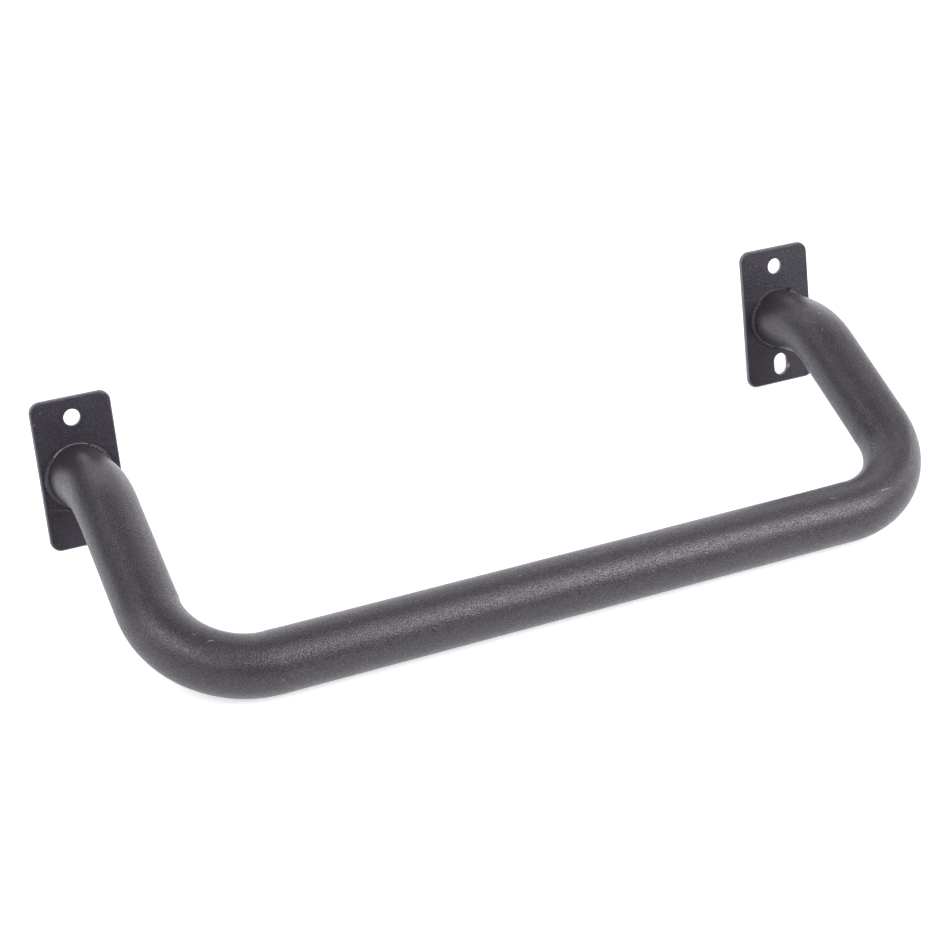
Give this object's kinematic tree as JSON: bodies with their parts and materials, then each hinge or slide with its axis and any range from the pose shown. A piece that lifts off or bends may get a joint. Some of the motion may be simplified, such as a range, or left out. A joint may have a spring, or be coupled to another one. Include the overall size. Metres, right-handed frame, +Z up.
{
  "type": "bed assist rail",
  "caption": "Rigid grab rail: a round steel tube bent into a wide, sloping U, with a flat screw plate welded across each end. Dark powder-coated finish.",
  "frame": {"origin": "midway between the axes of the two tube ends, on the plane of the plates' back faces, where the bed side or wall is", "axes": "+Z up as the rail is mounted, +Y out of the plates' back faces into the bed side or wall, +X along the crossbar"},
  "size_m": [0.4626, 0.1613, 0.1282],
  "materials": {
    "powder_coat": "fine-textured satin powder coat, dark charcoal grey"
  },
  "bodies": {
    "root": {"bent_tube": "powder_coat", "left_plate": "powder_coat", "right_plate": "powder_coat", "left_weld_outboard": "powder_coat", "left_weld_inboard": "powder_coat", "right_weld_outboard": "powder_coat", "right_weld_inboard": "powder_coat"}
  },
  "joints": []
}
